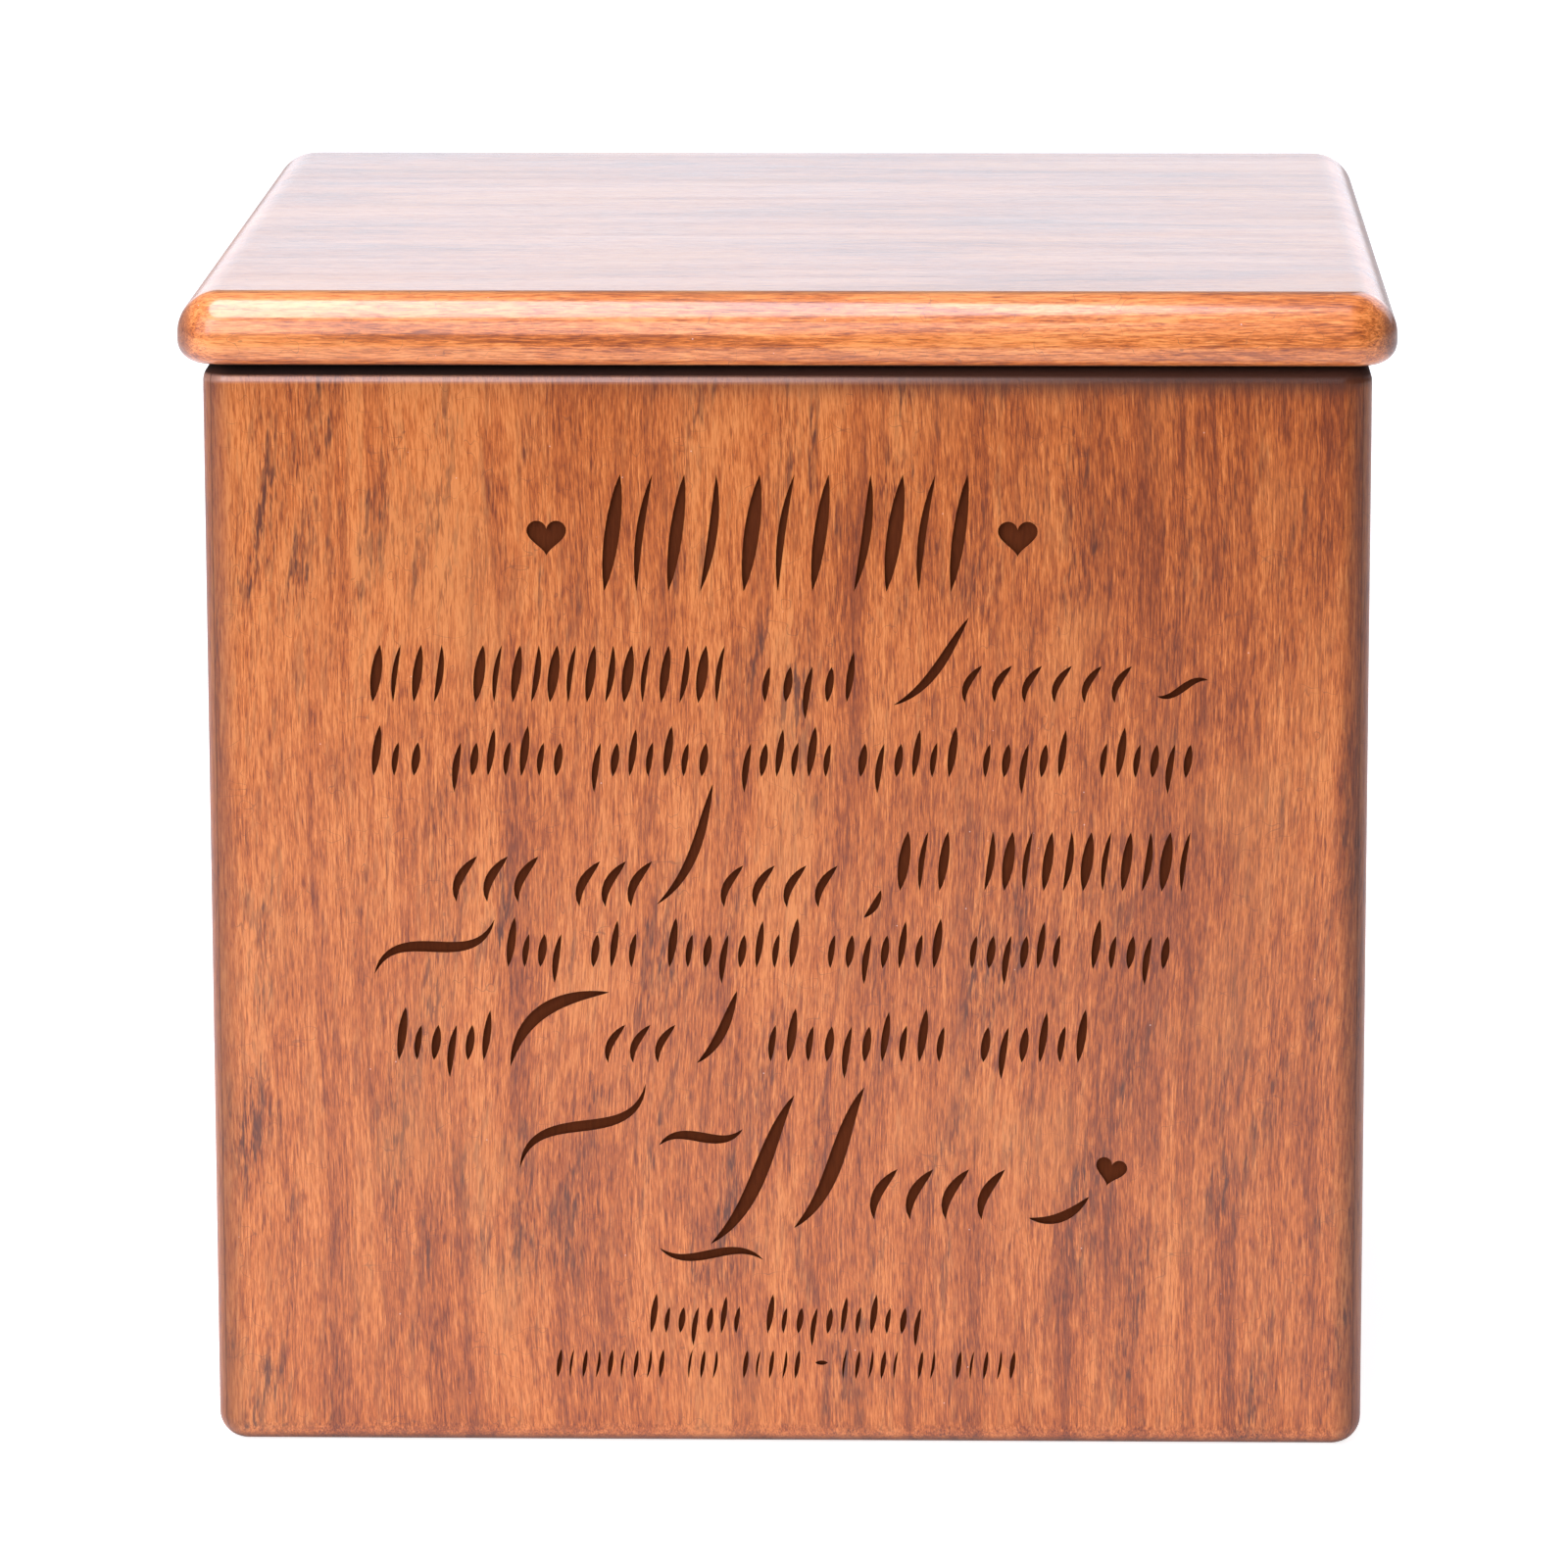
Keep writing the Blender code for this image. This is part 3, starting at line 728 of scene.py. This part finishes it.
def solid_helper(name, shape, material=None):
    """Turns a bmesh into a helper object for a Boolean."""
    bmesh.ops.recalc_face_normals(shape, faces=shape.faces)
    mesh = bpy.data.meshes.new(name)
    shape.to_mesh(mesh)
    shape.free()
    mesh.materials.append(material)
    return put_in_scene(name, mesh)


def finish_piece(name, helper, cuts):
    """Works Booleans in, shades the result so that flat faces stay flat, and names it."""
    for operation, other in cuts:
        modifier = helper.modifiers.new(operation, "BOOLEAN")
        modifier.operation = operation
        modifier.solver = "EXACT"
        modifier.material_mode = "TRANSFER"
        modifier.object = other
    mesh = evaluated_mesh(helper)
    take_out(helper)
    mesh.shade_smooth()
    mesh.set_sharp_from_angle(angle=SMOOTH_ANGLE)
    rough = put_in_scene(name + "_rough", mesh)
    weighted = rough.modifiers.new("weighted", "WEIGHTED_NORMAL")
    weighted.keep_sharp = True
    weighted.weight = FACE_AREA_WEIGHT
    done = evaluated_mesh(rough)
    take_out(rough)
    done.name = name
    return put_in_scene(name, done)


def wall_blank(name, turn, material):
    """A board as sawn, mitred at both ends. Turn 0 is the front, and the others go round."""
    shape = block(BODY_WIDTH, WALL, -REACH, BODY_HEIGHT + REACH)
    for vert in shape.verts:
        sideways = math.copysign(1.0, vert.co.x)
        inward = -REACH if vert.co.y < 0 else WALL
        vert.co.x = sideways * (BODY_WIDTH / 2 - inward - MITRE_GAP / 2 * math.sqrt(2))
        vert.co.y = inward - BODY_WIDTH / 2
    bmesh.ops.rotate(shape, cent=(0.0, 0.0, 0.0), verts=shape.verts,
                     matrix=Matrix.Rotation(math.radians(turn), 3, "Z"))
    return solid_helper(name, shape, material)


body_shape = solid_helper("body_shape", rounded_block(
    BODY_WIDTH, 0.0, BODY_HEIGHT, (BODY_CORNER_RADIUS, CORNER_SEGMENTS),
    (BODY_TOP_RADIUS, TOP_SEGMENTS), (BODY_FOOT_RADIUS, FOOT_SEGMENTS)))
rebate_width = BODY_WIDTH + 2 * (REBATE_INTO_WALL - WALL)
rebate = solid_helper("rebate", block(rebate_width, rebate_width, -REACH, REBATE_HEIGHT))
front_wood = stained_wood("stained_front_board", "ZXY", 1, mitred=True, painted_shade=CROWN_PAINTED_SHADE)
char = burnt_wood("laser_char")
strokes = solid_helper("strokes", engraving(char), char)
front_board = finish_piece("front_board", wall_blank("front", 0, front_wood), (
    ("INTERSECT", body_shape), ("DIFFERENCE", rebate), ("DIFFERENCE", strokes)))
take_out(strokes)
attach(front_board, "root")
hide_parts("front_panel")


# Side boards: the same blank as the front, left and right of it, with upright grain and no
# engraving. Each is cut from another part of the plank, so its figure differs.
SIDE_BOARDS = (
    ("right_board", "right_panel", 90, 4, (0.93, 0.90, 0.92)),
    ("left_board", "left_panel", 270, 7, (0.97, 0.96, 0.96)),
)
for name, node, turn, seed, tone in SIDE_BOARDS:
    side_wood = stained_wood("stained_" + name, "ZYX", seed, tone, 0.9, mitred=True,
                             painted_shade=CROWN_PAINTED_SHADE)
    side_board = finish_piece(name, wall_blank(name + "_blank", turn, side_wood), (
        ("INTERSECT", body_shape), ("DIFFERENCE", rebate)))
    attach(side_board, "root")
    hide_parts(node)


# Back board: the same blank again, plain, which closes the box behind. Its mitres meet those of the
# side boards, and its stain is a little more even than the front's.
back_wood = stained_wood("stained_back_board", "ZXY", 12, (0.97, 0.96, 0.97), 0.8, mitred=True,
                         painted_shade=CROWN_PAINTED_SHADE)
back_board = finish_piece("back_board", wall_blank("back_blank", 180, back_wood), (
    ("INTERSECT", body_shape), ("DIFFERENCE", rebate)))
take_out(body_shape)
take_out(rebate)
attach(back_board, "root")
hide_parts("back_panel")


# Bottom board: a thinner board let into the rebate round the foot of the walls and glued there,
# flush with them. It is stained like the rest but hardly lacquered.
BOTTOM_THICKNESS = 0.0065
BOTTOM_CLEARANCE = 0.00012
BOTTOM_EDGE = (0.0003, 2)
bottom_wood = stained_wood("stained_bottom_board", "XYZ", 17, (0.86, 0.84, 0.84), 0.6, 0.25)
bottom_board = finish_piece("bottom_board", solid_helper("bottom", rounded_block(
    rebate_width - 2 * BOTTOM_CLEARANCE, 0.0, BOTTOM_THICKNESS, BOTTOM_EDGE, BOTTOM_EDGE,
    BOTTOM_EDGE), bottom_wood), ())
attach(bottom_board, "root")
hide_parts("bottom_panel")


# Lid: one thicker board, grain from left to right, which overhangs the walls. Its upper rim has a
# wide roundover and its lower rim a small one. A step under it drops inside the walls and keeps it
# in place.
LID_SEAT = 0.1603
LID_THICKNESS = 0.0104
LID_OVERHANG = 0.0035
LID_CORNER = (0.0070, 14)
LID_TOP_ROUND = (0.0063, 16)
LID_UNDER_ROUND = (0.0032, 10)
LID_STEP_DEPTH = 0.0050
LID_STEP_CLEARANCE = 0.00075
# Near-black painted shade on the lid's underside, just above where it sits on the walls
UNDERSIDE_PAINTED_SHADE = (LID_SEAT * 1000.0 + 0.03, LID_SEAT * 1000.0 + 0.45, 1.0, 0.0)
lid_wood = stained_wood("stained_lid_board", "XYZ", 23, (1.35, 1.49, 1.72), 0.4, 1.6,
                        painted_shade=UNDERSIDE_PAINTED_SHADE)
step_width = BODY_WIDTH - 2 * (WALL + LID_STEP_CLEARANCE)
step_shape = solid_helper("lid_step", block(
    step_width, step_width, LID_SEAT - LID_STEP_DEPTH, LID_SEAT + LID_THICKNESS / 2), lid_wood)
lid_board = finish_piece("lid_board", solid_helper("lid_blank", rounded_block(
    BODY_WIDTH + 2 * LID_OVERHANG, LID_SEAT, LID_SEAT + LID_THICKNESS, LID_CORNER, LID_TOP_ROUND,
    LID_UNDER_ROUND), lid_wood), (("UNION", step_shape),))
take_out(step_shape)
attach(lid_board, "root")
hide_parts("lid")


# Floor: a plain pale studio sheet on which the box stands. The camera sees it as white. It throws
# light back on the box from a strip in front of it and, more, from a narrow strip behind it.
FLOOR_HALF = 6.0
PAPER_STOPS = (
    (0.3, (0.80, 0.80, 0.805, 1.0)),
    (0.7, (0.82, 0.82, 0.820, 1.0)),
)
FLOOR_GREY = (0.05, 0.05, 0.05, 1.0)
FRONT_STRIP = (-1.00, -0.28)
BACK_STRIP = (0.25, 0.80)
BACK_STRIP_HALF = (0.12, 0.40)
FRONT_GLOW = 0.26
BACK_GLOW = 0.50
floor_shape = bmesh.new()
bmesh.ops.create_grid(floor_shape, x_segments=1, y_segments=1, size=FLOOR_HALF)
floor_mesh = bpy.data.meshes.new("floor")
floor_shape.to_mesh(floor_mesh)
floor_shape.free()
floor_material, sheet = new_material("pale_floor")
place = sheet.node("ShaderNodeTexCoord", output="Object")
paper = sheet.node("ShaderNodeTexNoise", inputs={"Vector": place, "Scale": 3.0, "Detail": 2.0})
pale = sheet.node("ShaderNodeValToRGB", {"stops": PAPER_STOPS}, {"Fac": paper})
sideways = sheet.node("ShaderNodeSeparateXYZ", inputs={"Vector": place})
away = sideways.also("Y")
near = away.between(*FRONT_STRIP)
back = away.between(*BACK_STRIP) * abs(sideways).between(*BACK_STRIP_HALF, 1.0, 0.0)
seen = sheet.node("ShaderNodeLightPath", output="Is Camera Ray")
paper_shader = sheet.node("ShaderNodeBsdfPrincipled", inputs={
    "Base Color": pale.mixed(FLOOR_GREY, 1.0 - near),
    "Roughness": 0.9,
    "Specular IOR Level": 0.1,
    "Emission Color": pale,
    "Emission Strength": seen + (1.0 - seen) * (near * FRONT_GLOW + back * BACK_GLOW),
})
sheet.node("ShaderNodeOutputMaterial", inputs={"Surface": paper_shader})
floor_mesh.materials.append(floor_material)
floor = put_in_scene("floor", floor_mesh)


# Studio light: a large softbox above the lid and left of its middle, whose reflection runs along
# the lid's roundover, a broad one in front on the left, a weaker one beside it, and one behind on
# the right for the back. The room is dim, lighter on the left, and white low down behind the box.
SOFTBOX_COLOUR = (1.0, 0.95, 1.05)
ROOM_COLOUR = (0.90, 0.950, 1.05, 1.0)
ROOM_GLOW = 0.12
ROOM_GLOW_LEFT = 0.18
BACKDROP_GLOW = 0.96
BACKDROP_GLOW_LEFT = 0.12
ROOM_SEEN = 1.1
LOW = (0.20, 0.36)
BEHIND = (0.86, 0.97)
LEFT_TO_RIGHT = (-0.7, 0.7)

# Each softbox: name, form, place, turn in degrees, size and power in watts
SOFTBOXES = (
    ("overhead_softbox", "ELLIPSE", (-0.315, -0.34, 1.24), (15.0, 0.0, 0.0), (0.84, 1.20), 14.2),
    ("front_softbox", "RECTANGLE", (-0.62, -1.42, 0.80), (66.0, 0.0, -23.0), (1.40, 0.96), 10.4),
    ("side_softbox", "RECTANGLE", (-1.25, -0.98, 0.75), (67.0, 0.0, -52.0), (1.20, 1.20), 4.0),
    ("back_softbox", "RECTANGLE", (0.90, 1.30, 0.95), (61.0, 0.0, 145.0), (1.40, 1.20), 7.0),
)
for name, form, middle, turn, size, power in SOFTBOXES:
    light = bpy.data.lights.new(name, "AREA")
    light.shape = form
    light.size, light.size_y = size
    light.energy = power
    light.color = SOFTBOX_COLOUR
    softbox = bpy.data.objects.new(name, light)
    softbox.location = middle
    softbox.rotation_euler = [math.radians(angle) for angle in turn]
    softbox.visible_camera = False
    bpy.context.scene.collection.objects.link(softbox)

world = bpy.data.worlds.new("studio")
world.use_nodes = True
world.node_tree.nodes.clear()
room = Wire(world.node_tree)
toward = room.node("ShaderNodeSeparateXYZ", inputs={
    "Vector": room.node("ShaderNodeTexCoord", output="Generated")})
low = toward.also("Z").between(*LOW, 1.0, 0.0)
behind = toward.also("Y").between(*BEHIND)
left = toward.also("X").between(*LEFT_TO_RIGHT, 1.0, 0.0)
seen = room.node("ShaderNodeLightPath", output="Is Camera Ray")
backdrop = low * behind * (BACKDROP_GLOW + left * BACKDROP_GLOW_LEFT)
glow = ROOM_GLOW + left * ROOM_GLOW_LEFT + backdrop
room.node("ShaderNodeOutputWorld", inputs={
    "Surface": room.node("ShaderNodeBackground", inputs={
        "Color": ROOM_COLOUR, "Strength": seen * ROOM_SEEN + (1.0 - seen) * glow})})
bpy.context.scene.world = world
bpy.context.scene.view_settings.view_transform = "Standard"
bpy.context.scene.view_settings.look = "None"
